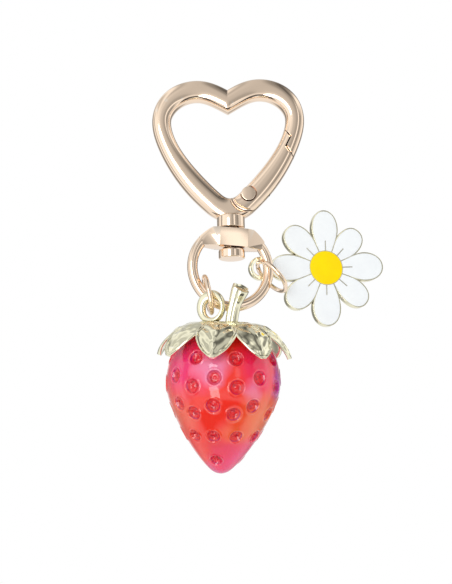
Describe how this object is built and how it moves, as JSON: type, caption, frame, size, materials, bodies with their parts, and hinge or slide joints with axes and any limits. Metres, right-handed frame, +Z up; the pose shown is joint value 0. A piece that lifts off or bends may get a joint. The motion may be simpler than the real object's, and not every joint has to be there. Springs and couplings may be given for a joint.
{
  "type": "heart clasp keychain with strawberry and daisy charms",
  "caption": "Heart-shaped gate clasp on a swivel ring, carrying a translucent strawberry charm and an enamelled daisy charm on jump rings.",
  "frame": {"origin": "middle of the heart clasp's opening, where the keychain hangs", "axes": "+Z up the length of the hanging keychain, +X to the right with the gate on the right, -Y to the front"},
  "size_m": [0.0516, 0.031, 0.0886],
  "materials": {
    "rose_gold_plate": "polished light rose gold plating on a zinc casting",
    "pale_gold_plate": "polished pale champagne gold plating",
    "spring_steel": "bright wire",
    "berry_acrylic": "translucent acrylic, red to pink to coral, polished",
    "white_enamel": "glossy cool white enamel",
    "yellow_enamel": "glossy warm yellow enamel"
  },
  "bodies": {
    "clasp": {"heart_frame": "rose_gold_plate", "gate_rivet": "rose_gold_plate", "swivel_stud": "rose_gold_plate"},
    "gate": {"gate": "rose_gold_plate", "gate_spring": "spring_steel"},
    "swivel": {"swivel_ring": "rose_gold_plate"},
    "charm_link": {"charm_jump_ring": "rose_gold_plate"},
    "strawberry": {"calyx_cap": "pale_gold_plate", "cap_peg": "spring_steel", "strawberry_body": "berry_acrylic"},
    "daisy_link": {"daisy_jump_ring": "rose_gold_plate"},
    "daisy": {"daisy_plate": "pale_gold_plate", "petal_enamel_1": "white_enamel", "petal_enamel_2": "white_enamel", "petal_enamel_3": "white_enamel", "petal_enamel_4": "white_enamel", "petal_enamel_5": "white_enamel", "petal_enamel_6": "white_enamel", "petal_enamel_7": "white_enamel", "petal_enamel_8": "white_enamel", "centre_enamel": "yellow_enamel"}
  },
  "joints": [
    {"name": "gate_hinge", "type": "hinge", "parent": "clasp", "child": "gate", "pos_m": [0.00409, 0, -0.01075], "axis": [0, -1, 0], "range_deg": [0, 28], "stiffness_Nm_per_rad": 0.05, "springref_deg": -22.92, "deforming": ["gate_spring"]},
    {"name": "swivel_spin", "type": "hinge", "parent": "clasp", "child": "swivel", "pos_m": [0, 0, -0.0206], "axis": [0, 0, 1], "continuous": true},
    {"name": "charm_link_swing", "type": "hinge", "parent": "swivel", "child": "charm_link", "pos_m": [-0.00547, -0.00141, -0.03403], "axis": [0.7649, 0.198, -0.6129], "range_deg": [-25, 25]},
    {"name": "strawberry_swing", "type": "hinge", "parent": "charm_link", "child": "strawberry", "pos_m": [-0.00467, -0.00475, -0.03714], "axis": [-0.019, -0.8898, 0.4559], "range_deg": [-20, 20]},
    {"name": "daisy_link_swing", "type": "hinge", "parent": "swivel", "child": "daisy_link", "pos_m": [0.00802, 0.00207, -0.02778], "axis": [0.066, 0.017, 0.9977], "range_deg": [-30, 12]},
    {"name": "daisy_swing", "type": "hinge", "parent": "daisy_link", "child": "daisy", "pos_m": [0.00575, 0.00372, -0.02596], "axis": [0.046, 0.9352, -0.3511], "range_deg": [-24, 10]}
  ]
}
